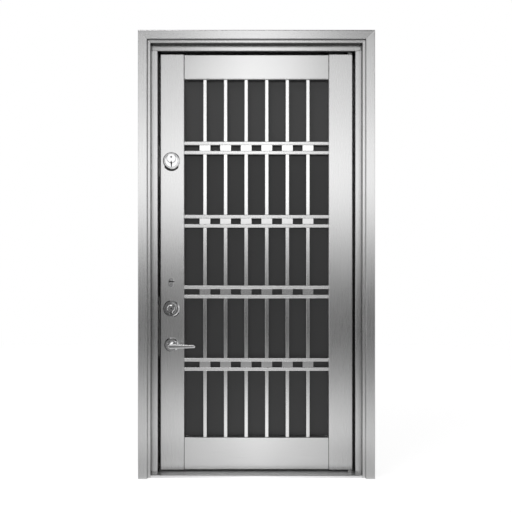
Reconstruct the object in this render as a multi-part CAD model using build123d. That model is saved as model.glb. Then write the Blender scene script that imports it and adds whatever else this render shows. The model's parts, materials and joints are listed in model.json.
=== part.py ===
from build123d import *
import os

# A stainless steel entrance door in its frame: a stepped casing round the opening, inner posts and a
# threshold, and one leaf of hollow stiles and rails that holds a barred grille over a dark panel.
# Millimetres. +X runs to the right seen from outside, +Y goes inwards, +Z is up. The origin is on the
# underside of the threshold, midway between the jambs, in the plane of the leaf's outer face.

# Frame as a whole
frame_width = 1110.0
frame_height = 2100.0
frame_depth = 160.0
leaf_setback = 80.0
frame_sheet = 2.0

# How far a cutter reaches past the face that it opens
cut_margin = 1.0

# Stepped casing, folded from sheet, measured from its outer edge and from its front
casing_face = 43.0
casing_step = 15.0
second_band = 14.0
casing_bend = 3.5

# Inner posts and header, which carry the rebate; the casing's inner edge laps onto their fronts
post_width = 28.5
header_height = 27.0
post_setback = 50.0
post_lap = 6.0
post_bend = 3.0

# Threshold
threshold_height = 12.0
threshold_setback = 15.0
threshold_wall = 3.0
threshold_bend = 3.5
upstand_height = 22.0

# Stop behind the leaf, and its rubber seal
stop_width = 25.0
stop_depth = 20.0
stop_wall = 1.5
stop_bend = 2.5
seal_width = 10.0
seal_thickness = 5.0
seal_round = 2.0
seal_inset = 3.0

# Leaf
side_gap = 8.0
top_gap = 8.0
foot_gap = 7.0
leaf_thickness = 50.0
leaf_sheet = 2.0
leaf_bend = 4.0
stile_width = 115.0
top_rail_height = 119.0
bottom_rail_height = 154.0

# Grille of square tubes: pairs of crossbars with upright bars between them
bar_count = 6
bar_size = 18.0
bar_wall = 1.5
bar_bend = 3.0
crossbar_size = 18.0
crossbar_slot = 26.5
pair_heights = (1561.5, 1209.5, 870.0, 521.5)
crossbar_setback = 6.0
bar_setback = 8.0
block_width = 51.5
block_setback = 8.0

# Dark panel behind the grille, and the beads that hold it from the inner side
panel_setback = 32.0
panel_thickness = 2.0
panel_margin = 1.0
bead_width = 16.0
bead_depth = 14.0
bead_bend = 2.5

# Pivots at the head and the foot of the hinge stile
pivot_inset = 10.0
pivot_pin_radius = 6.0
pivot_pin_length = 35.0
pivot_running_gap = 0.05
pivot_collar_radius = 10.0
pivot_collar_gap = 0.3
pivot_base_radius = 16.0
pivot_base_height = 3.0
pivot_hole_margin = 0.5
pivot_block_size = 36.0
pivot_block_height = 40.0

# Locks in the lock stile
backset = 54.0
lock_case_thickness = 16.0
lock_case_depth = 78.0
faceplate_width = 22.0
faceplate_thickness = 3.0
faceplate_margin = 15.0
upper_lock_height = 1499.0
upper_case_height = 130.0
lower_lock_height = 791.0
lever_height = 617.0
lower_case_height = 270.0
bolt_radius = 7.0
bolt_recess = 1.0
bolt_pitch = 28.0
bolt_count = 3
strike_thickness = 2.0
strike_width = 26.0
strike_hole_margin = 1.5

# Round plates of the locks on the outer side
upper_rose_radius = 40.5
lower_rose_radius = 39.0
rose_rim = 2.5
rose_rise = 7.0
rose_slope = 5.0
rose_dish = 2.5
upper_cylinder_radius = 22.5
upper_cylinder_lift = 11.5
lower_cylinder_radius = 25.5
lower_groove_outer = 19.5
lower_groove_inner = 13.5
lower_groove_depth = 2.0
cylinder_rise = 11.0
cylinder_edge = 2.0
cylinder_gap = 0.2
rivet_hole_radius = 3.2
rivet_hole_depth = 4.0
rivet_lift = 5.5
centre_hole_radius = 2.0

# Keyhole of the upper lock, which starts in the cylinder and runs down into the rose
upper_keyhole_width = 8.0
upper_keyhole_foot_width = 3.0
upper_keyhole_shoulder = 8.0
upper_keyhole_drop = 31.0
upper_keyhole_floor = 1.5

# Keyhole of the lower lock
lower_keyhole_width = 7.5
lower_keyhole_length = 15.0
lower_keyhole_drop = 18.5
lower_keyhole_depth = 6.0

# Small oval cover above the lower lock, with a wedge-shaped slit across it
cover_height = 915.0
cover_half_width = 13.0
cover_half_length = 21.0
cover_rise = 6.0
cover_bevel = 2.0
cover_slit_lift = 5.0
cover_slit_wide = 8.0
cover_slit_narrow = 4.0
cover_slit_depth = 4.5

# Lever handles
lever_rose_radius = 34.0
inner_rose_radius = 28.0
lever_boss_radius = 20.0
lever_boss_rise = 12.0
lever_neck_radius = 10.0
lever_running_gap = 0.05
lever_neck_reach = 52.0
lever_root_radius = 11.0
lever_tip_radius = 8.0
lever_length = 120.0
lever_grip_thickness = 15.0
lever_round = 5.0
spindle_size = 8.0
spindle_gap = 0.1
spindle_grip = 25.0
spindle_hole_radius = 6.5
stile_hole_radius = 11.0

# Thumb turns on the inner side
turn_disc_radius = 22.0
turn_disc_rise = 10.0
turn_half_length = 19.0
turn_half_width = 6.5
turn_rise = 24.0
turn_round = 3.0

# Places that follow from the sizes above
frame_front = -leaf_setback
frame_back = frame_front + frame_depth
half_frame = frame_width / 2
casing_width = casing_face + second_band
half_casing_opening = half_frame - casing_width
half_wall_opening = half_casing_opening + post_lap
half_rebate = half_casing_opening - post_width
casing_underside = frame_height - casing_width
header_underside = casing_underside - header_height
post_front = frame_front + post_setback
post_depth = frame_depth - post_setback
post_middle = post_front + post_depth / 2
stop_front = frame_back - stop_depth
upstand_top = threshold_height + upstand_height

half_leaf = half_rebate - side_gap
leaf_foot = threshold_height + foot_gap
leaf_head = header_underside - top_gap
leaf_middle = leaf_thickness / 2
half_opening = half_leaf - stile_width
opening_foot = leaf_foot + bottom_rail_height
opening_head = leaf_head - top_rail_height

pivot_x = half_leaf - pivot_inset
pivot_y = pivot_inset
lock_x = -half_leaf + backset
pair_height = 2 * crossbar_size + crossbar_slot
bar_pitch = 2 * half_opening / (bar_count + 1)
bar_places = [-half_opening + bar_pitch * (place + 1) for place in range(bar_count)]


def span_box(x_span, y_span, z_span):
    """A box between two values on each axis."""
    spans = (x_span, y_span, z_span)
    middle = [(low + high) / 2 for low, high in spans]
    size = [high - low for low, high in spans]
    return Pos(*middle) * Box(*size)


def tube_section(width, depth, wall, bend):
    """A hollow rectangle with rounded outer corners, square inside, of one wall thickness."""
    return RectangleRounded(width, depth, bend) - Rectangle(width - 2 * wall, depth - 2 * wall)


def upright(section, x, y, z_span):
    """Stand a section on its end between two heights."""
    low, high = z_span
    return extrude(Pos(x, y, low) * section, high - low)


def level(section, y, z, x_span):
    """Lay a section along X, its first size across the door and its second upwards."""
    low, high = x_span
    end = Plane(origin=(low, y, z), x_dir=(0, 1, 0), z_dir=(1, 0, 0))
    return extrude(end * section, high - low)


def outer_face(height, x=lock_x):
    """Work plane on the leaf's outer face, looking outwards, with its own Y upwards."""
    return Plane(origin=(x, 0, height), x_dir=(1, 0, 0), z_dir=(0, -1, 0))


def inner_face(height, x=lock_x):
    """Work plane on the leaf's inner face, looking inwards into the building."""
    return Plane(origin=(x, leaf_thickness, height), x_dir=(-1, 0, 0), z_dir=(0, 1, 0))


def other_side(shape):
    """The same piece on the opposite jamb."""
    return mirror(shape, about=Plane.YZ)


# Frame

def casing_path():
    """The casing's visible skin: (distance in from the outer edge, distance back from the front)."""
    return [
        (0, post_setback),
        (0, 0),
        (casing_face, 0),
        (casing_face, casing_step),
        (casing_width, casing_step),
        (casing_width, post_setback),
    ]


def folded_sheet(points):
    """Cross-section of a sheet folded along the points, with its thickness on the wall side."""
    skin = FilletPolyline(*points, radius=casing_bend)
    return make_face(offset(skin, amount=frame_sheet, side=Side.LEFT, closed=True))


def front_window(points):
    """A prism through the whole depth, with its outline given in X and Z."""
    outline = make_face(Polyline(*points, close=True))
    return extrude(Plane.XZ * outline, 2 * frame_depth, both=True)


def casing_left():
    points = [(inwards - half_frame, frame_front + back) for inwards, back in casing_path()]
    length = upright(folded_sheet(points), 0, 0, (0, frame_height))
    mitre = [
        (-half_frame, 0),
        (-half_frame, frame_height),
        (-half_casing_opening, casing_underside),
        (-half_casing_opening, 0),
    ]
    return length & front_window(mitre)


def casing_top():
    points = [(frame_front + back, frame_height - inwards) for inwards, back in casing_path()]
    length = level(folded_sheet(points), 0, 0, (-half_frame, half_frame))
    mitre = [
        (-half_frame, frame_height),
        (half_frame, frame_height),
        (half_casing_opening, casing_underside),
        (-half_casing_opening, casing_underside),
    ]
    return length & front_window(mitre)


def bolt_heights(case_middle, case_height):
    """Heights of the bolts of a lock case, near its upper end."""
    top_bolt = case_middle + case_height / 2 - faceplate_margin - bolt_radius
    return [top_bolt - bolt_pitch * place for place in range(bolt_count)]


def lock_cases():
    """Middle and height of each lock case: the upper one, and the one behind the lower lock and lever."""
    lower_middle = (lower_lock_height + lever_height) / 2
    return [(upper_lock_height, upper_case_height), (lower_middle, lower_case_height)]


def bolt_bores(radius, x_span):
    """Round bores along X where the bolts of both lock cases pass."""
    low, high = x_span
    bores = Part()
    for middle, height in lock_cases():
        for bolt_height in bolt_heights(middle, height):
            bore = Cylinder(radius, high - low, rotation=(0, 90, 0))
            bores += Pos((low + high) / 2, leaf_middle, bolt_height) * bore
    return bores


def inner_post():
    width = post_width + post_lap
    section = tube_section(width, post_depth, frame_sheet, post_bend)
    return upright(section, -half_rebate - width / 2, post_middle, (threshold_height, header_underside))


def inner_post_left():
    keep_face = (-half_rebate - 2 * frame_sheet, -half_rebate + frame_sheet)
    return inner_post() - bolt_bores(bolt_radius + strike_hole_margin, keep_face)


def inner_header():
    height = header_height + post_lap
    section = tube_section(post_depth, height, frame_sheet, post_bend)
    return level(section, post_middle, header_underside + height / 2,
                 (-half_wall_opening, half_wall_opening))


def threshold():
    """Low hollow sill that rises at the back into the stop for the leaf's foot."""
    front = frame_front + threshold_setback
    points = [
        (front, 0),
        (front, threshold_height),
        (stop_front, threshold_height),
        (stop_front, upstand_top),
        (frame_back, upstand_top),
        (frame_back, 0),
    ]
    outline = make_face(Polyline(*points, close=True))
    hollow = offset(outline, amount=-threshold_wall)
    upper_corners = [corner for corner in outline.vertices() if corner.Y > 0]
    outline = fillet(upper_corners, threshold_bend)
    sill = level(outline - hollow, 0, 0, (-half_wall_opening, half_wall_opening))
    post_space = (-half_wall_opening, -half_rebate)
    post_foot = span_box(post_space, (post_front, frame_back + cut_margin),
                         (threshold_height, upstand_top + cut_margin))
    casing_space = (-half_wall_opening, -half_casing_opening)
    casing_foot = span_box(casing_space, (front - cut_margin, post_front),
                           (-cut_margin, threshold_height + cut_margin))
    for notch in (post_foot, casing_foot):
        sill = sill - notch - other_side(notch)
    return sill


def stop_left():
    section = tube_section(stop_width, stop_depth, stop_wall, stop_bend)
    stop_top_underside = header_underside - stop_width
    return upright(section, -half_rebate + stop_width / 2, stop_front + stop_depth / 2,
                   (upstand_top, stop_top_underside))


def stop_top():
    section = tube_section(stop_depth, stop_width, stop_wall, stop_bend)
    return level(section, stop_front + stop_depth / 2, header_underside - stop_width / 2,
                 (-half_rebate, half_rebate))


def door_seal():
    """One rubber frame on the stop's front, with its face towards the leaf rounded."""
    width = 2 * (half_leaf - seal_inset)
    height = leaf_head - leaf_foot - 2 * seal_inset
    ring = Rectangle(width, height) - Rectangle(width - 2 * seal_width, height - 2 * seal_width)
    back = Plane(origin=(0, stop_front, (leaf_head + leaf_foot) / 2), x_dir=(1, 0, 0), z_dir=(0, -1, 0))
    seal = extrude(back * ring, seal_thickness)
    return fillet(seal.faces().sort_by(Axis.Y)[0].edges(), seal_round)


def strike_plate(middle, height):
    """Thin plate on the left post's rebate face, with a hole for each bolt."""
    reach = height / 2 + faceplate_margin / 2
    face = (-half_rebate, -half_rebate + strike_thickness)
    across = (leaf_middle - strike_width / 2, leaf_middle + strike_width / 2)
    plate = span_box(face, across, (middle - reach, middle + reach))
    return plate - bolt_bores(bolt_radius + strike_hole_margin, (face[0] - cut_margin, face[1] + cut_margin))


def pivot_stud():
    """Base, collar and pin of the foot pivot, standing on its own origin."""
    collar_height = foot_gap - pivot_base_height - pivot_collar_gap
    base = extrude(Circle(pivot_base_radius), pivot_base_height)
    collar = Pos(0, 0, pivot_base_height) * extrude(Circle(pivot_collar_radius), collar_height)
    pin_foot = Pos(0, 0, pivot_base_height + collar_height)
    pin = pin_foot * extrude(Circle(pivot_pin_radius), pivot_pin_length)
    return base + collar + pin


def lower_pivot():
    return Pos(pivot_x, pivot_y, threshold_height) * pivot_stud()


def upper_pivot():
    stud = mirror(pivot_stud(), about=Plane.XY)
    extra = top_gap - foot_gap
    spacer = extrude(Circle(pivot_base_radius), -extra)
    return Pos(pivot_x, pivot_y, header_underside) * (Pos(0, 0, -extra) * stud + spacer)


# Leaf

def stile(x_middle):
    """Full-height hollow stile, closed at its head and foot by its own sheet."""
    outside = upright(RectangleRounded(stile_width, leaf_thickness, leaf_bend), x_middle, leaf_middle,
                      (leaf_foot, leaf_head))
    cavity = Rectangle(stile_width - 2 * leaf_sheet, leaf_thickness - 2 * leaf_sheet)
    inside = upright(cavity, x_middle, leaf_middle, (leaf_foot + leaf_sheet, leaf_head - leaf_sheet))
    return outside - inside


def faceplate_box(middle, height, thickness):
    reach = height / 2 + faceplate_margin
    across = (leaf_middle - faceplate_width / 2, leaf_middle + faceplate_width / 2)
    return span_box((-half_leaf, -half_leaf + thickness), across, (middle - reach, middle + reach))


def lock_stile():
    body = stile(-half_leaf + stile_width / 2)
    for middle, height in lock_cases():
        body -= faceplate_box(middle, height, faceplate_thickness)
    spindle_way = Cylinder(stile_hole_radius, leaf_thickness + 2 * cut_margin, rotation=(90, 0, 0))
    return body - Pos(lock_x, leaf_middle, lever_height) * spindle_way


def hinge_stile():
    body = stile(half_leaf - stile_width / 2)
    pin_way = Cylinder(pivot_pin_radius + pivot_hole_margin, 2 * (leaf_sheet + cut_margin))
    for height in (leaf_foot, leaf_head):
        body -= Pos(pivot_x, pivot_y, height) * pin_way
    return body


def rail(height, z_middle):
    section = tube_section(leaf_thickness, height, leaf_sheet, leaf_bend)
    return level(section, leaf_middle, z_middle, (-half_opening, half_opening))


def pivot_block(low):
    """Solid block in the corner of the hinge stile, bored for the pivot pin."""
    outer_x = half_leaf - leaf_sheet
    corner = (outer_x - pivot_block_size, outer_x)
    block = span_box(corner, (leaf_sheet, leaf_sheet + pivot_block_size), (low, low + pivot_block_height))
    block = fillet(block.edges().filter_by(Axis.Z), leaf_bend)
    bore = Cylinder(pivot_pin_radius + pivot_running_gap, 2 * (pivot_block_height + cut_margin))
    return block - Pos(pivot_x, pivot_y, low) * bore


def lock_case(middle, height):
    """Mortise lock: its case inside the stile, its faceplate let into the stile's edge, bolts withdrawn."""
    face = -half_leaf + faceplate_thickness
    half_thickness = lock_case_thickness / 2
    case = span_box((face, face + lock_case_depth), (leaf_middle - half_thickness, leaf_middle + half_thickness),
                    (middle - height / 2, middle + height / 2))
    bolt_ends = bolt_bores(bolt_radius, (-half_leaf - cut_margin, -half_leaf + bolt_recess))
    spindle_way = Cylinder(spindle_hole_radius, leaf_thickness, rotation=(90, 0, 0))
    spindle_way = Pos(lock_x, leaf_middle, lever_height) * spindle_way
    return case + faceplate_box(middle, height, faceplate_thickness) - bolt_ends - spindle_way


def backing_panel():
    half_width = half_opening - panel_margin
    return span_box((-half_width, half_width), (panel_setback, panel_setback + panel_thickness),
                    (opening_foot + panel_margin, opening_head - panel_margin))


def side_beads():
    section = tube_section(bead_width, bead_depth, stop_wall, bead_bend)
    y = panel_setback + panel_thickness + bead_depth / 2
    bead = upright(section, -half_opening + bead_width / 2, y, (opening_foot, opening_head))
    return Compound([bead, other_side(bead)])


def cross_beads():
    section = tube_section(bead_depth, bead_width, stop_wall, bead_bend)
    y = panel_setback + panel_thickness + bead_depth / 2
    reach = half_opening - bead_width
    heights = (opening_foot + bead_width / 2, opening_head - bead_width / 2)
    return Compound([level(section, y, z, (-reach, reach)) for z in heights])


# Grille

def crossbar_pair(middle):
    """Two level tubes with a slot between them."""
    section = tube_section(crossbar_size, crossbar_size, bar_wall, bar_bend)
    y = crossbar_setback + crossbar_size / 2
    offset_up = (crossbar_slot + crossbar_size) / 2
    heights = (middle - offset_up, middle + offset_up)
    return Compound([level(section, y, z, (-half_opening, half_opening)) for z in heights])


def spacer_blocks():
    """A short flat tube in each slot wherever an upright bar meets the crossbars."""
    depth = crossbar_setback + crossbar_size - block_setback
    section = Rectangle(block_width, depth) - Rectangle(block_width - 2 * bar_wall, depth - 2 * bar_wall)
    block = upright(section, 0, block_setback + depth / 2, (-crossbar_slot / 2, crossbar_slot / 2))
    return Compound([Pos(x, 0, z) * block for z in pair_heights for x in bar_places])


def tier_spans():
    """Heights between which the upright bars stand, from the top rail down."""
    tops = [opening_head] + [middle - pair_height / 2 for middle in pair_heights]
    feet = [middle + pair_height / 2 for middle in pair_heights] + [opening_foot]
    return list(zip(feet, tops))


def bar_tier(z_span):
    section = tube_section(bar_size, bar_size, bar_wall, bar_bend)
    y = bar_setback + bar_size / 2
    return Compound([upright(section, x, y, z_span) for x in bar_places])


# Locks and handles

def turned(points):
    """Solid turned about Z from an outline given as (radius, height)."""
    outline = make_face(Polyline(*points, close=True))
    return revolve(Plane.XZ * outline, axis=Axis.Z)


def lock_rose(radius, bore_radius, bore_lift):
    """Raised round plate with a sloping rim and a shallow dish, bored for its cylinder."""
    lip = radius - rose_slope
    plate = turned([
        (0, 0),
        (radius, 0),
        (radius, rose_rim),
        (lip, rose_rise),
        (lip - rose_dish, rose_rise),
        (lip - 2 * rose_dish, rose_rise - rose_dish),
        (0, rose_rise - rose_dish),
    ])
    bore = Cylinder(bore_radius + cylinder_gap, 2 * (rose_rise + cut_margin))
    return plate - Pos(0, bore_lift, 0) * bore


def lock_cylinder(radius):
    """Front of the lock cylinder, with a bevelled edge."""
    return turned([
        (0, 0),
        (radius, 0),
        (radius, cylinder_rise - cylinder_edge),
        (radius - cylinder_edge, cylinder_rise),
        (0, cylinder_rise),
    ])


def upper_keyhole():
    """Cutter for the kite-shaped keyhole that hangs from the middle of the rose."""
    half_shoulder = upper_keyhole_width / 2
    half_foot = upper_keyhole_foot_width / 2
    points = [
        (0, 0),
        (-half_shoulder, -upper_keyhole_shoulder),
        (-half_foot, -upper_keyhole_drop),
        (half_foot, -upper_keyhole_drop),
        (half_shoulder, -upper_keyhole_shoulder),
    ]
    outline = make_face(Polyline(*points, close=True))
    return Pos(0, 0, upper_keyhole_floor) * extrude(outline, cylinder_rise)


def upper_lock_rose():
    plate = lock_rose(upper_rose_radius, upper_cylinder_radius, upper_cylinder_lift)
    return outer_face(upper_lock_height) * (plate - upper_keyhole())


def upper_lock_cylinder():
    body = Pos(0, upper_cylinder_lift, 0) * lock_cylinder(upper_cylinder_radius)
    rivet = Cylinder(rivet_hole_radius, 2 * rivet_hole_depth)
    rivet = Pos(0, upper_cylinder_lift + rivet_lift, cylinder_rise) * rivet
    return outer_face(upper_lock_height) * (body - rivet - upper_keyhole())


def lower_lock_rose():
    return outer_face(lower_lock_height) * lock_rose(lower_rose_radius, lower_cylinder_radius, 0)


def ring_groove(inner_radius, outer_radius, depth):
    """Cutter for a V-shaped ring in the face of a cylinder."""
    over = cylinder_rise + cut_margin
    return turned([
        ((inner_radius + outer_radius) / 2, cylinder_rise - depth),
        (outer_radius, cylinder_rise),
        (outer_radius, over),
        (inner_radius, over),
        (inner_radius, cylinder_rise),
    ])


def lower_lock_cylinder():
    body = lock_cylinder(lower_cylinder_radius)
    body -= ring_groove(lower_groove_inner, lower_groove_outer, lower_groove_depth)
    centre = Pos(0, 0, cylinder_rise) * Cylinder(centre_hole_radius, 2 * rivet_hole_depth)
    keyhole = Box(lower_keyhole_width, lower_keyhole_length, 2 * lower_keyhole_depth)
    keyhole = Pos(0, -lower_keyhole_drop, cylinder_rise) * keyhole
    return outer_face(lower_lock_height) * (body - centre - keyhole)


def oval(half_width, half_length):
    return SlotOverall(2 * half_length, 2 * half_width, rotation=90)


def keyhole_cover():
    """Small oval plate with bevelled edges and a slit that narrows towards the grille."""
    plate = extrude(oval(cover_half_width, cover_half_length), cover_rise)
    plate = chamfer(plate.faces().sort_by(Axis.Z)[-1].edges(), cover_bevel)
    reach = cover_half_width + cut_margin
    slit = make_face(Polyline(
        (-reach, -cover_slit_wide / 2),
        (reach, -cover_slit_narrow / 2),
        (reach, cover_slit_narrow / 2),
        (-reach, cover_slit_wide / 2),
        close=True,
    ))
    slit = Pos(0, cover_slit_lift, cover_rise - cover_slit_depth) * extrude(slit, cover_rise)
    return outer_face(cover_height) * (plate - slit)


def lever_rose(radius):
    bore = lever_neck_radius + lever_running_gap
    return turned([
        (bore, 0),
        (radius, 0),
        (radius, rose_rim),
        (radius - rose_slope, rose_rise),
        (lever_boss_radius, rose_rise),
        (lever_boss_radius - cylinder_edge, lever_boss_rise),
        (bore, lever_boss_rise),
    ])


def lever_outer():
    """Neck out of the rose and a tapered grip with a rounded tip, pointing to the middle of the door."""
    neck = extrude(Circle(lever_neck_radius), lever_neck_reach)
    root = Circle(lever_root_radius)
    tip = Pos(lever_length - lever_tip_radius, 0) * Circle(lever_tip_radius)
    outline = make_hull(root.edges() + tip.edges())
    grip = Pos(0, 0, lever_neck_reach) * extrude(outline, lever_grip_thickness)
    grip = fillet(grip.faces().filter_by(Axis.Z).edges(), lever_round)
    socket_size = spindle_size + 2 * spindle_gap
    socket = Box(socket_size, socket_size, 2 * spindle_grip)
    return outer_face(lever_height) * (neck + grip - socket)


def lever_inner():
    middle = Plane(origin=(0, leaf_middle, 0), z_dir=(0, 1, 0))
    return mirror(lever_outer(), about=middle)


def spindle():
    reach = spindle_grip
    half = spindle_size / 2
    return span_box((lock_x - half, lock_x + half), (-reach, leaf_thickness + reach),
                    (lever_height - half, lever_height + half))


def thumb_turn():
    """Oval knob on a low round disc."""
    disc = Pos(0, 0, rose_rise) * extrude(Circle(turn_disc_radius), turn_disc_rise - rose_rise)
    knob = Pos(0, 0, turn_disc_rise) * extrude(oval(turn_half_width, turn_half_length), turn_rise)
    knob = fillet(knob.faces().sort_by(Axis.Z)[-1].edges(), turn_round)
    return disc + knob


def inner_lock_rose():
    return turned([
        (0, 0),
        (inner_rose_radius, 0),
        (inner_rose_radius, rose_rim),
        (inner_rose_radius - rose_slope, rose_rise),
        (0, rose_rise),
    ])


def frame_nodes():
    (upper_middle, upper_height), (lower_middle, lower_height) = lock_cases()
    return {
        "casing_left": casing_left(),
        "casing_right": other_side(casing_left()),
        "casing_top": casing_top(),
        "inner_post_left": inner_post_left(),
        "inner_post_right": other_side(inner_post()),
        "inner_header": inner_header(),
        "threshold": threshold(),
        "stop_left": stop_left(),
        "stop_right": other_side(stop_left()),
        "stop_top": stop_top(),
        "door_seal": door_seal(),
        "upper_strike_plate": strike_plate(upper_middle, upper_height),
        "lower_strike_plate": strike_plate(lower_middle, lower_height),
        "lower_pivot": lower_pivot(),
        "upper_pivot": upper_pivot(),
    }


def leaf_nodes():
    (upper_middle, upper_height), (lower_middle, lower_height) = lock_cases()
    return {
        "lock_stile": lock_stile(),
        "hinge_stile": hinge_stile(),
        "top_rail": rail(top_rail_height, leaf_head - top_rail_height / 2),
        "bottom_rail": rail(bottom_rail_height, leaf_foot + bottom_rail_height / 2),
        "lower_pivot_block": pivot_block(leaf_foot + leaf_sheet),
        "upper_pivot_block": pivot_block(leaf_head - leaf_sheet - pivot_block_height),
        "upper_lock_case": lock_case(upper_middle, upper_height),
        "lower_lock_case": lock_case(lower_middle, lower_height),
        "backing_panel": backing_panel(),
        "side_beads": side_beads(),
        "cross_beads": cross_beads(),
        "upper_lock_rose": upper_lock_rose(),
        "upper_lock_cylinder": upper_lock_cylinder(),
        "lower_lock_rose": lower_lock_rose(),
        "lower_lock_cylinder": lower_lock_cylinder(),
        "keyhole_cover": keyhole_cover(),
        "lever_rose": outer_face(lever_height) * lever_rose(lever_rose_radius),
        "inner_lever_rose": inner_face(lever_height) * lever_rose(inner_rose_radius),
        "upper_inner_rose": inner_face(upper_lock_height) * inner_lock_rose(),
        "lower_inner_rose": inner_face(lower_lock_height) * inner_lock_rose(),
        "upper_thumb_turn": inner_face(upper_lock_height) * thumb_turn(),
        "lower_thumb_turn": inner_face(lower_lock_height) * thumb_turn(),
    }


def grille_nodes():
    nodes = {"spacer_blocks": spacer_blocks()}
    for place, middle in enumerate(pair_heights):
        nodes[f"crossbar_pair_{place + 1}"] = crossbar_pair(middle)
    for place, z_span in enumerate(tier_spans()):
        nodes[f"bar_tier_{place + 1}"] = bar_tier(z_span)
    return nodes


def lever_nodes():
    return {
        "lever_outer": lever_outer(),
        "lever_inner": lever_inner(),
        "spindle": spindle(),
    }


os.makedirs("parts", exist_ok=True)
for nodes in (frame_nodes(), leaf_nodes(), grille_nodes(), lever_nodes()):
    for name, shape in nodes.items():
        export_step(shape, f"parts/{name}.step")
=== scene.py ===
import bpy
import bmesh
import json
from math import cos, pi, radians, sin
from mathutils import Matrix, Vector


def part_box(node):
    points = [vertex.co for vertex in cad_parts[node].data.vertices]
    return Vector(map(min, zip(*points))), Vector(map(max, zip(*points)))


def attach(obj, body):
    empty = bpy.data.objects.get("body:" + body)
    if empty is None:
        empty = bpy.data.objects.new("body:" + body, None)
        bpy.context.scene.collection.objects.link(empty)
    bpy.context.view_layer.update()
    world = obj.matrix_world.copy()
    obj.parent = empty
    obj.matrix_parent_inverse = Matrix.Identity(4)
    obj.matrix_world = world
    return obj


# A stainless steel door in its frame, dressed round the fixed model. Metres throughout.

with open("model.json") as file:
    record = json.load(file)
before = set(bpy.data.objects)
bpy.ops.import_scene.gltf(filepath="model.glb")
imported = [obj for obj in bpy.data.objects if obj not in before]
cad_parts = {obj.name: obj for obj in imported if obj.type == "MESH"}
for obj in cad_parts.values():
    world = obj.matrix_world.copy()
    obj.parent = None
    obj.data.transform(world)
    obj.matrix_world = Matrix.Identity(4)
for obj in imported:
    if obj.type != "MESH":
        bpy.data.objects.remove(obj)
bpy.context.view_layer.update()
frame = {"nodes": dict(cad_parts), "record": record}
nodes = frame["nodes"]
slot_of_node = {part["node"]: part["material_slot"] for part in frame["record"]["subparts"]}

# Places read from the fixed model
casing_low, casing_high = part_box("casing_top")
leaf_edge_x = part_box("lock_stile")[0].x
rail_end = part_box("top_rail")[1].x

# How the photograph looks at the door: its size and the door's middle in pixels, the metres in a pixel at
# the casing's face, and the camera's distance from that face
photo_size = 512
photo_centre = (256.5, 254.4)
photo_scale = 0.004673
camera_distance = 3.09

# Blender takes the sensor's width in millimetres, and the lens in the same unit
sensor_width = 36.0

# Tints of the steel, at its darkest and its palest marks
sheet_tints = ((0.62, 0.62, 0.62), (0.72, 0.72, 0.72))
tube_tints = ((0.67, 0.67, 0.67), (0.75, 0.75, 0.75))
trodden_tints = ((0.78, 0.78, 0.78), (0.88, 0.88, 0.88))

# Brush lines and handling marks: how fine the lines are each way, and each pattern's share of the tone
brush_across = 260.0
brush_along = 2.2
brush_share = 0.65
cloud_share = 0.35
brush_relief = 0.00001
roughness_swing = 0.03

# The part of a noise pattern's range that its values mostly fill
noise_span = (0.3, 0.7)

# Painted shade on the inner return faces of the folded steel, by how squarely they face into the doorway
return_span = (0.65, 0.93)
return_painted_shade = 0.18

# Painted shade: dark lines beside the seams between rails and stiles
seam_width = 0.0028
seam_shade_tone = 0.35

# Painted light: the dark panel grows paler between two heights, above the top crossbars
panel_tints = ((0.036, 0.036, 0.037), (0.078, 0.078, 0.079))
panel_painted_light_span = (1.52, 1.60)
panel_cloud_share = 0.4
panel_grain = 0.00003

# Black crescents of painted shadow at the lower edges of the locks; arcs in degrees from +X towards +Z
shadow_crescent_thickness = 0.0028
shadow_crescent_lap = 0.0006
shadow_arc_steps = 40
upper_shadow_slip = (0.0, -0.0084)
upper_shadow_arc = (215, 325)
lower_shadow_slip = (0.0022, -0.0030)
lower_shadow_arc = (285, 330)

# Rivets of the locks, near-black with painted shade; lifts are from the middle of a rose, feet and tops are
# out of the leaf's face
upper_rivet_lift = 0.017
upper_rivet_radius = 0.0042
lower_rivet_lift = 0.0
lower_rivet_radius = 0.0030
rivet_foot = 0.0072
rivet_top = 0.0117
rivet_bevel = 0.0006
rivet_sides = 28

# Near-black cores of painted shade that fill the keyholes and the cover's slit, with outlines from the
# middle of each rose
core_foot = 0.0016
upper_core_top = 0.0042
upper_core_outline = [(0, -0.0003), (-0.0038, -0.008), (-0.0014, -0.0308), (0.0014, -0.0308),
                      (0.0038, -0.008)]
upper_plug_top = 0.0102
upper_plug_outline = [(0, -0.0003), (-0.0038, -0.008), (-0.0036, -0.0104), (0.0036, -0.0104),
                      (0.0038, -0.008)]
lower_core_foot = 0.0052
lower_core_top = 0.0103
lower_core_outline = [(-0.0036, -0.0254), (0.0036, -0.0254), (0.0036, -0.0135), (0.0022, -0.0113),
                      (-0.0022, -0.0113), (-0.0036, -0.0135)]
slit_core_top = 0.0040
slit_core_outline = [(-0.0128, 0.0013), (0.0128, 0.0031), (0.0128, 0.0069), (-0.0128, 0.0087)]

# Cross-headed screws of the faceplates and strike plates
screw_radius = 0.0042
screw_proud = 0.0003
screw_depth = 0.0015
screw_bevel = 0.0004
screw_sides = 24
screw_cross_width = 0.0010
screw_cross_reach = 0.0026
screw_inset = 0.0085

# The floor: its half sides, its paint, and the glow that keeps it white to the eye
floor_half_width = 4.0
floor_half_depth = 4.6
floor_paint = (0.8, 0.8, 0.8, 1)
floor_white = 0.80

# Painted light: a glow of the floor that only the steel's reflections see, a pool by distance from the
# door's plane, with levels as shares of the reach, and a factor by distance aside
floor_reach = 5
floor_painted_pool = [(0.0, 1.10), (0.012, 0.60), (0.025, 0.36), (0.06, 0.35), (0.16, 0.56), (0.32, 0.42),
              (0.58, 0.07), (1.0, 0.02)]
floor_aside_span = (0, 0.55)
floor_aside_factors = (2.1, 0.9)

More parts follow.
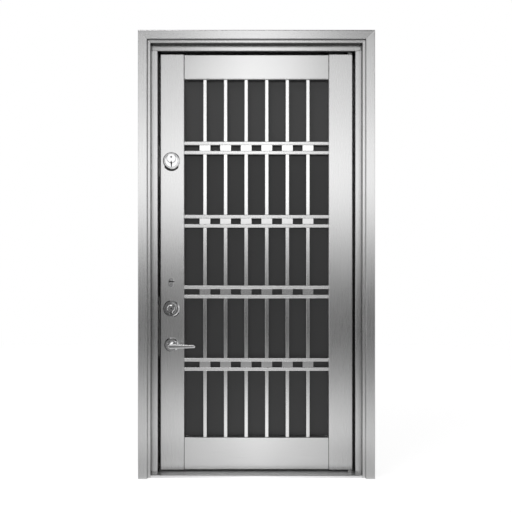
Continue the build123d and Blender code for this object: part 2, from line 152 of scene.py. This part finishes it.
# The studio's levels by degrees above the horizon, and how they fall towards the sides
studio_height = [(-90, 0.3), (-9, 0.08), (-6.4, 0.09), (-3.8, 0.13), (-1.6, 0.24), (0.5, 0.54),
                 (2.7, 1.12), (4.8, 1.50), (8.3, 1.34), (10.8, 0.92), (13.3, 0.56), (16.5, 0.50),
                 (18.6, 0.30), (21, 0.12), (26, 0.04), (35, 0.03), (50, 0.06), (90, 0.2)]
side_fall_span = (0.6, 0.9)
side_fall_level = 0.3

# What the column in the middle of the studio adds, as factors by degrees above the horizon, and the lights
# at the studio's two sides; the width and the spans are of the direction's X
column_height = [(-90, 0.0), (1.5, 0.0), (5, 0.4), (10, 1.2), (15, 4.2), (20, 9.0), (30, 12.0), (60, 1.0),
                 (90, 0.0)]
column_half_width = 0.14
left_light = 0.9
left_light_span = (-0.66, -0.90)
right_light = 0.6
right_light_span = (0.70, 0.95)

# The lamp high in front of the door
lamp_place = (-1.3, -2.0, 4.6)
lamp_aim = (0, -0.3, 0.4)
lamp_size = (1.6, 1.6)
lamp_power = 24


# Node helpers

def new_material(name):
    """An empty node material and its shader, ready to be given a pattern."""
    material = bpy.data.materials.new(name)
    material.use_nodes = True
    tree = material.node_tree
    tree.nodes.clear()
    output = tree.nodes.new("ShaderNodeOutputMaterial")
    shader = tree.nodes.new("ShaderNodeBsdfPrincipled")
    tree.links.new(shader.outputs["BSDF"], output.inputs["Surface"])
    return material, tree, shader


def object_pattern(tree, scale=(1, 1, 1)):
    """Object coordinates stretched by a scale on each axis."""
    place = tree.nodes.new("ShaderNodeTexCoord")
    mapping = tree.nodes.new("ShaderNodeMapping")
    mapping.inputs["Scale"].default_value = scale
    tree.links.new(place.outputs["Object"], mapping.inputs["Vector"])
    return mapping.outputs["Vector"]


def parts_of(tree, kind):
    """The X, Y and Z of a coordinate, by the name of its kind."""
    place = tree.nodes.new("ShaderNodeTexCoord")
    split = tree.nodes.new("ShaderNodeSeparateXYZ")
    tree.links.new(place.outputs[kind], split.inputs["Vector"])
    return split.outputs


def noise(tree, vector, scale, detail, roughness=0.5):
    texture = tree.nodes.new("ShaderNodeTexNoise")
    texture.inputs["Scale"].default_value = scale
    texture.inputs["Detail"].default_value = detail
    texture.inputs["Roughness"].default_value = roughness
    tree.links.new(vector, texture.inputs["Vector"])
    return texture.outputs["Fac"]


def remap(tree, value, span, levels):
    """A value that goes from one level to another over a span, and stays level outside it."""
    node = tree.nodes.new("ShaderNodeMapRange")
    for name, limit in zip(("From Min", "From Max", "To Min", "To Max"), (*span, *levels)):
        node.inputs[name].default_value = limit
    tree.links.new(value, node.inputs["Value"])
    return node.outputs["Result"]


def calculate(tree, operation, *values):
    """Arithmetic on one or two values, each a number or a socket."""
    node = tree.nodes.new("ShaderNodeMath")
    node.operation = operation
    for socket, value in zip(node.inputs, values):
        if isinstance(value, (int, float)):
            socket.default_value = value
        else:
            tree.links.new(value, socket)
    return node.outputs["Value"]


def product(tree, first, second):
    return calculate(tree, "MULTIPLY", first, second)


def total(tree, first, second):
    return calculate(tree, "ADD", first, second)


def grey_between(tree, factor, tints):
    """A colour that goes from one tint to another with a factor."""
    mix = tree.nodes.new("ShaderNodeMix")
    mix.data_type = "RGBA"
    for socket, tint in zip(mix.inputs[6:8], tints):
        socket.default_value = (*tint, 1)
    tree.links.new(factor, mix.inputs["Factor"])
    return mix.outputs[2]


def shaded(tree, colour, tone):
    """A colour made darker by a factor."""
    node = tree.nodes.new("ShaderNodeVectorMath")
    node.operation = "SCALE"
    tree.links.new(colour, node.inputs["Vector"])
    tree.links.new(tone, node.inputs["Scale"])
    return node.outputs["Vector"]


def level_ramp(tree, value, stops):
    """A curve of levels over a value between 0 and 1, given as (place, level)."""
    node = tree.nodes.new("ShaderNodeValToRGB")
    ramp = node.color_ramp
    ramp.elements[0].position = stops[0][0]
    ramp.elements[1].position = stops[-1][0]
    for place, _ in stops[1:-1]:
        ramp.elements.new(place)
    for element, (_, level) in zip(ramp.elements, stops):
        element.color = (level, level, level, 1)
    tree.links.new(value, node.inputs["Fac"])
    return node.outputs["Color"]


def bump(tree, shader, height, distance, strength=1.0):
    node = tree.nodes.new("ShaderNodeBump")
    node.inputs["Strength"].default_value = strength
    node.inputs["Distance"].default_value = distance
    tree.links.new(height, node.inputs["Height"])
    tree.links.new(node.outputs["Normal"], shader.inputs["Normal"])


# Finishes

def inward_turn(tree):
    """How squarely a surface faces into the doorway, from a jamb or the head: 1 on an inner return."""
    facing = parts_of(tree, "Normal")
    side = calculate(tree, "SIGN", parts_of(tree, "Object")["X"])
    from_jamb = product(tree, product(tree, facing["X"], side), -1)
    return calculate(tree, "MAXIMUM", from_jamb, product(tree, facing["Z"], -1))


def seam_shade(tree, seam):
    """Painted shade: a fine dark line beside the seams where the rails meet the stiles."""
    aside = calculate(tree, "ABSOLUTE", parts_of(tree, "Object")["X"])
    return remap(tree, aside, (seam - seam_width, seam - seam_width / 2), (1.0, seam_shade_tone))


def brush_tangent(tree, shader, axis):
    """Stretch the highlights across the brush lines, round the axis that the lines follow."""
    tangent = tree.nodes.new("ShaderNodeTangent")
    tangent.direction_type = "RADIAL"
    tangent.axis = axis
    tree.links.new(tangent.outputs["Tangent"], shader.inputs["Tangent"])


def brushed_steel(name, along, tints, roughness, anisotropy, return_shade=1.0, seam=None):
    """Satin stainless steel with fine brush lines along X or Z and faint cloudy handling marks. Where they
    are asked for, it has painted shade on the inner return faces and a fine dark line of painted shade
    beside a seam."""
    material, tree, shader = new_material(name)
    fine = [brush_across] * 3
    fine["XYZ".index(along)] = brush_along
    streaks = noise(tree, object_pattern(tree, fine), scale=3.0, detail=3.0, roughness=0.6)
    clouds = noise(tree, object_pattern(tree), scale=2.6, detail=4.0)
    tone = total(tree, product(tree, streaks, brush_share), product(tree, clouds, cloud_share))
    shader.inputs["Metallic"].default_value = 1.0
    shader.inputs["Anisotropic"].default_value = anisotropy
    brushed = grey_between(tree, remap(tree, tone, noise_span, (0, 1)), tints)
    # Painted shade: inner return faces that face into the doorway are darkened
    if return_shade < 1:
        brushed = shaded(tree, brushed, remap(tree, inward_turn(tree), return_span, (1.0, return_shade)))
    # Painted shade: a dark line beside the rail seams
    if seam:
        brushed = shaded(tree, brushed, seam_shade(tree, seam))
    tree.links.new(brushed, shader.inputs["Base Color"])
    rough = (roughness - roughness_swing, roughness + roughness_swing)
    tree.links.new(remap(tree, tone, noise_span, rough), shader.inputs["Roughness"])
    brush_tangent(tree, shader, along)
    bump(tree, shader, streaks, brush_relief, strength=0.6)
    return material


def marked_finish(name, stretch, scale, detail, tints, roughness, metallic=0.0, relief=0.0):
    """A finish whose tint and roughness follow one noise pattern, given by its stretch, scale and detail."""
    material, tree, shader = new_material(name)
    pattern = noise(tree, object_pattern(tree, stretch), scale, detail)
    shader.inputs["Metallic"].default_value = metallic
    tree.links.new(grey_between(tree, pattern, tints), shader.inputs["Base Color"])
    tree.links.new(remap(tree, pattern, noise_span, roughness), shader.inputs["Roughness"])
    if relief:
        bump(tree, shader, pattern, relief)
    return material


def dark_panel():
    """Dark satin sheet behind the bars, with painted light that makes it paler above the top crossbars."""
    material, tree, shader = new_material("dark_satin_panel")
    clouds = noise(tree, object_pattern(tree), scale=3.0, detail=5.0)
    grain = noise(tree, object_pattern(tree), scale=900.0, detail=2.0)
    # Painted light: paler above the top crossbars
    upper = remap(tree, parts_of(tree, "Object")["Z"], panel_painted_light_span, (0, 1))
    tone = total(tree, product(tree, clouds, panel_cloud_share), upper)
    palest = 1 + panel_cloud_share
    tree.links.new(grey_between(tree, remap(tree, tone, (0, palest), (0, 1)), panel_tints),
                   shader.inputs["Base Color"])
    tree.links.new(remap(tree, clouds, noise_span, (0.36, 0.42)), shader.inputs["Roughness"])
    bump(tree, shader, grain, panel_grain)
    return material


def chrome():
    """Polished plate with faint wiping marks."""
    return marked_finish("polished_chrome", stretch=(60, 60, 25), scale=4.0, detail=4.0, metallic=1.0,
                         tints=((0.68, 0.68, 0.69), (0.78, 0.78, 0.78)), roughness=(0.10, 0.17))


def machined_steel():
    """Bright machined steel of the lock cases, screws and pivots."""
    return marked_finish("machined_steel", stretch=(300, 300, 900), scale=2.0, detail=3.0, metallic=1.0,
                         tints=((0.42, 0.42, 0.42), (0.56, 0.56, 0.55)), roughness=(0.30, 0.42))


def keyhole_shade_finish():
    """Near-black painted shade deep in a keyhole, slit or hole."""
    return marked_finish("painted_keyhole_shade", stretch=(1, 1, 1), scale=700.0, detail=3.0, metallic=0.3,
                         tints=((0.006, 0.006, 0.006), (0.016, 0.016, 0.016)), roughness=(0.55, 0.70))


def seal_rubber():
    """Matt black rubber with a fine skin, for the seals and also for the crescents of painted shadow under
    the locks.
    """
    return marked_finish("matt_black_rubber_and_painted_shadow", stretch=(1, 1, 1), scale=1200.0, detail=3.0, relief=0.0001,
                         tints=((0.010, 0.010, 0.010), (0.022, 0.022, 0.022)), roughness=(0.70, 0.85))


steel_upright = brushed_steel("steel_brushed_upright", "Z", sheet_tints, roughness=0.28, anisotropy=0.8)
steel_level = brushed_steel("steel_brushed_level", "X", sheet_tints, roughness=0.25, anisotropy=0.7)
folded_upright = brushed_steel("folded_steel_upright", "Z", sheet_tints, roughness=0.28, anisotropy=0.8,
                               return_shade=return_painted_shade)
folded_level = brushed_steel("folded_steel_level", "X", sheet_tints, roughness=0.25, anisotropy=0.7,
                             return_shade=return_painted_shade)
rail_steel = brushed_steel("rail_steel", "X", sheet_tints, roughness=0.25, anisotropy=0.7, seam=rail_end)
trodden_steel = brushed_steel("trodden_steel", "X", trodden_tints, roughness=0.42, anisotropy=0.3)
tube_upright = brushed_steel("tube_brushed_upright", "Z", tube_tints, roughness=0.20, anisotropy=0.6)
tube_level = brushed_steel("tube_brushed_level", "X", tube_tints, roughness=0.24, anisotropy=0.7)
small_steel = machined_steel()
painted_shade_black = keyhole_shade_finish()
black_rubber_and_shadow = seal_rubber()
rails = {"top_rail", "bottom_rail"}
level_nodes = {"casing_top", "inner_header", "threshold", "stop_top", "cross_beads"} | rails
level_nodes |= {name for name in nodes if name.startswith("crossbar_pair")}
other_finishes = {
    "dark_panel": dark_panel(),
    "lock_chrome": chrome(),
    "lock_steel": small_steel,
    "seal_rubber": black_rubber_and_shadow,
}


def finish_of(node):
    """The finish of a fixed node: by its slot, and for steel also by the way it was brushed."""
    slot = slot_of_node[node]
    if slot in other_finishes:
        return other_finishes[slot]
    if slot == "grille_steel":
        return tube_level if node in level_nodes else tube_upright
    if node in rails:
        return rail_steel
    if node == "threshold":
        return trodden_steel
    if slot == "frame_steel":
        return folded_level if node in level_nodes else folded_upright
    return steel_level if node in level_nodes else steel_upright


for name, node in nodes.items():
    node.data.materials.clear()
    node.data.materials.append(finish_of(name))


# Pieces added to the fixed model

def mesh_piece(name, shape, material):
    """Make an object from a bmesh, with its place in its mesh."""
    mesh = bpy.data.meshes.new(name)
    shape.to_mesh(mesh)
    shape.free()
    mesh.materials.append(material)
    piece = bpy.data.objects.new(name, mesh)
    bpy.context.scene.collection.objects.link(piece)
    return piece


def on_leaf(name, shape, material):
    """A new piece that moves with the leaf."""
    piece = mesh_piece(name, shape, material)
    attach(piece, "leaf")


def middle_of(node):
    low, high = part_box(node)
    return (low + high) / 2


def prism(outline, y_back, y_front):
    """A closed prism with its outline given in X and Z, between two places on Y, the second outermost."""
    shape = bmesh.new()
    corners = [shape.verts.new((x, y_front, z)) for x, z in outline]
    face = shape.faces.new(corners)
    grown = bmesh.ops.extrude_face_region(shape, geom=[face])
    moved = [part for part in grown["geom"] if isinstance(part, bmesh.types.BMVert)]
    bmesh.ops.translate(shape, vec=(0, y_back - y_front, 0), verts=moved)
    bmesh.ops.recalc_face_normals(shape, faces=shape.faces)
    return shape


def arc_points(x, z, radius, start, end):
    """Points along an arc in X and Z, between two angles in degrees from +X towards +Z."""
    first = radians(start)
    turn = radians(end) - first
    angles = [first + turn * step / (shadow_arc_steps - 1) for step in range(shadow_arc_steps)]
    return [(x + radius * cos(angle), z + radius * sin(angle)) for angle in angles]


def shadow_crescent(name, rose_node, slip, arc):
    """Black crescent of painted shadow between a lock's edge and the same circle slipped aside."""
    rose = middle_of(rose_node)
    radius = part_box(rose_node)[1].x - rose.x
    start, end = arc
    outer = arc_points(rose.x + slip[0], rose.z + slip[1], radius, start, end)
    inner = arc_points(rose.x, rose.z, radius - shadow_crescent_lap, end, start)
    on_leaf(name, prism(outer + inner, 0.0, -shadow_crescent_thickness), black_rubber_and_shadow)


def shade_core(name, rose_node, outline, foot, top):
    """Near-black core of painted shade that fills a keyhole, with its outline given from the middle of the
    rose.
    """
    rose = middle_of(rose_node)
    corners = [(rose.x + x, rose.z + z) for x, z in outline]
    on_leaf(name, prism(corners, -foot, -top), painted_shade_black)


def round_head(radius, depth, sides, bevel):
    """A round head about the middle of its depth, with its upper rim bevelled."""
    shape = bmesh.new()
    bmesh.ops.create_cone(shape, cap_ends=True, segments=sides, radius1=radius, radius2=radius, depth=depth)
    rim = [edge for edge in shape.edges if all(corner.co.z > 0 for corner in edge.verts)]
    bmesh.ops.bevel(shape, geom=rim, offset=bevel, offset_type="OFFSET", segments=2, profile=0.5,
                    affect="EDGES", material=-1)
    return shape


def lock_rivet(name, rose_node, lift, radius):
    """Low rivet head in the face of a lock, near-black with painted shade."""
    rose = middle_of(rose_node)
    shape = round_head(radius, rivet_top - rivet_foot, rivet_sides, rivet_bevel)
    bmesh.ops.rotate(shape, matrix=Matrix.Rotation(pi / 2, 3, "X"), verts=shape.verts)
    bmesh.ops.translate(shape, vec=(rose.x, -(rivet_top + rivet_foot) / 2, rose.z + lift), verts=shape.verts)
    on_leaf(name, shape, painted_shade_black)


def screw_shape(place, outwards):
    """Flat screw head with a raised cross; outwards is 1 or -1 along X."""
    shape = round_head(screw_radius, screw_depth, screw_sides, screw_bevel)
    for turn in (0, pi / 2):
        bar = bmesh.ops.create_cube(shape, size=1.0)["verts"]
        bmesh.ops.scale(shape, vec=(2 * screw_cross_reach, screw_cross_width, screw_proud), verts=bar)
        bmesh.ops.rotate(shape, matrix=Matrix.Rotation(turn, 3, "Z"), verts=bar)
        bmesh.ops.translate(shape, vec=(0, 0, screw_depth / 2), verts=bar)
    bmesh.ops.rotate(shape, matrix=Matrix.Rotation(outwards * pi / 2, 3, "Y"), verts=shape.verts)
    bmesh.ops.translate(shape, vec=place, verts=shape.verts)
    return shape


def plate_screws(name, plate_node, x, outwards, body):
    """Two screws at the ends of a plate, made as one piece."""
    low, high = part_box(plate_node)
    whole = bmesh.new()
    centre = x + outwards * (screw_proud - screw_depth / 2)
    for z in (low.z + screw_inset, high.z - screw_inset):
        part = screw_shape((centre, (low.y + high.y) / 2, z), outwards)
        scratch = bpy.data.meshes.new("screw")
        part.to_mesh(scratch)
        part.free()
        whole.from_mesh(scratch)
        bpy.data.meshes.remove(scratch)
    piece = mesh_piece(name, whole, small_steel)
    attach(piece, body)


# Painted shadow: black crescents under the locks' lower edges, slipped the way a shadow falls
shadow_crescent("upper_lock_shadow_crescent", "upper_lock_rose", upper_shadow_slip, upper_shadow_arc)
shadow_crescent("lower_lock_shadow_crescent", "lower_lock_rose", lower_shadow_slip, lower_shadow_arc)
# Painted shade: near-black cores in the keyholes and in the cover's slit
shade_core("upper_keyhole_shade", "upper_lock_rose", upper_core_outline, core_foot, upper_core_top)
shade_core("upper_keyhole_shade_plug", "upper_lock_rose", upper_plug_outline, upper_core_top, upper_plug_top)
shade_core("lower_keyhole_shade", "lower_lock_rose", lower_core_outline, lower_core_foot, lower_core_top)
shade_core("cover_slit_shade", "keyhole_cover", slit_core_outline, core_foot, slit_core_top)
# Painted shade: near-black rivet heads
lock_rivet("upper_lock_rivet", "upper_lock_rose", upper_rivet_lift, upper_rivet_radius)
lock_rivet("lower_lock_rivet", "lower_lock_rose", lower_rivet_lift, lower_rivet_radius)
for level_name in ("upper", "lower"):
    plate_screws(f"{level_name}_faceplate_screws", f"{level_name}_lock_case", leaf_edge_x, -1, "leaf")
    plate_screws(f"{level_name}_strike_screws", f"{level_name}_strike_plate",
                 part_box(f"{level_name}_strike_plate")[1].x, 1, "frame")


# Floor, light and camera

def floor_material():
    """Pale floor that stays white to the eye, takes the shadow, and to reflections glows with a painted pool
    of light at the door.
    """
    material = bpy.data.materials.new("pale_floor")
    material.use_nodes = True
    tree = material.node_tree
    tree.nodes.clear()
    output = tree.nodes.new("ShaderNodeOutputMaterial")
    paint = tree.nodes.new("ShaderNodeBsdfDiffuse")
    paint.inputs["Color"].default_value = floor_paint
    place = parts_of(tree, "Object")
    away = calculate(tree, "ABSOLUTE", place["Y"])
    aside = calculate(tree, "ABSOLUTE", place["X"])
    # Painted light: a pool of glow by distance from the door, which only glossy rays see
    pool = product(tree, level_ramp(tree, remap(tree, away, (0, floor_reach), (0, 1)), floor_painted_pool),
                   remap(tree, aside, floor_aside_span, floor_aside_factors))
    seen = tree.nodes.new("ShaderNodeLightPath")
    glow = total(tree, product(tree, seen.outputs["Is Camera Ray"], floor_white),
                 product(tree, seen.outputs["Is Glossy Ray"], pool))
    white = tree.nodes.new("ShaderNodeEmission")
    add = tree.nodes.new("ShaderNodeAddShader")
    tree.links.new(glow, white.inputs["Strength"])
    tree.links.new(paint.outputs["BSDF"], add.inputs[0])
    tree.links.new(white.outputs["Emission"], add.inputs[1])
    tree.links.new(add.outputs["Shader"], output.inputs["Surface"])
    return material


def make_floor():
    shape = bmesh.new()
    bmesh.ops.create_grid(shape, x_segments=1, y_segments=1, size=1.0)
    bmesh.ops.scale(shape, vec=(floor_half_width, floor_half_depth, 1), verts=shape.verts)
    mesh_piece("floor", shape, floor_material())


def by_sine(stops):
    """Turn degrees above the horizon into places on a ramp over the sine of the height."""
    return [((sin(radians(angle)) + 1) / 2, level) for angle, level in stops]


def make_world():
    """Studio light: bright a little above eye level and dim just under it, with a brighter column in the
    middle and a light at each side. To the eye it is white."""
    world = bpy.data.worlds.new("studio")
    world.use_nodes = True
    bpy.context.scene.world = world
    tree = world.node_tree
    tree.nodes.clear()
    output = tree.nodes.new("ShaderNodeOutputWorld")
    background = tree.nodes.new("ShaderNodeBackground")
    background.inputs["Color"].default_value = (1, 1, 1, 1)
    tree.links.new(background.outputs["Background"], output.inputs["Surface"])
    direction = parts_of(tree, "Generated")
    sine = remap(tree, direction["Z"], (-1, 1), (0, 1))
    sideways = calculate(tree, "ABSOLUTE", direction["X"])
    column = product(tree, level_ramp(tree, sine, by_sine(column_height)),
                     remap(tree, sideways, (0, column_half_width), (1.0, 0.0)))
    level = product(tree, level_ramp(tree, sine, by_sine(studio_height)), total(tree, column, 1.0))
    level = product(tree, level, remap(tree, sideways, side_fall_span, (1.0, side_fall_level)))
    for span, light in ((left_light_span, left_light), (right_light_span, right_light)):
        level = total(tree, level, remap(tree, direction["X"], span, (0.0, light)))
    seen = tree.nodes.new("ShaderNodeLightPath")
    blend = tree.nodes.new("ShaderNodeMix")
    tree.links.new(seen.outputs["Is Camera Ray"], blend.inputs["Factor"])
    tree.links.new(level, blend.inputs["A"])
    blend.inputs["B"].default_value = 1.0
    tree.links.new(blend.outputs["Result"], background.inputs["Strength"])


def make_lamp():
    """A square lamp turned towards a point."""
    light = bpy.data.lights.new("high_softbox", "AREA")
    light.shape = "RECTANGLE"
    light.size, light.size_y = lamp_size
    light.energy = lamp_power
    lamp = bpy.data.objects.new("high_softbox", light)
    lamp.location = lamp_place
    lamp.rotation_euler = (Vector(lamp_aim) - Vector(lamp_place)).to_track_quat("-Z", "Y").to_euler()
    bpy.context.scene.collection.objects.link(lamp)


def make_camera():
    """A level camera that stands where the photograph was taken from, straight in front of the door."""
    camera = bpy.data.cameras.new("camera")
    camera.sensor_width = sensor_width
    camera.lens = sensor_width * camera_distance / (photo_size * photo_scale)
    holder = bpy.data.objects.new("camera", camera)
    right = -(photo_centre[0] - photo_size / 2) * photo_scale
    up = (photo_centre[1] - photo_size / 2) * photo_scale
    holder.location = (right, casing_low.y - camera_distance, casing_high.z / 2 + up)
    holder.rotation_euler = (radians(90), 0, 0)
    bpy.context.scene.collection.objects.link(holder)
    bpy.context.scene.camera = holder


make_floor()
make_world()
make_lamp()
make_camera()
bpy.context.scene.view_settings.view_transform = "Standard"
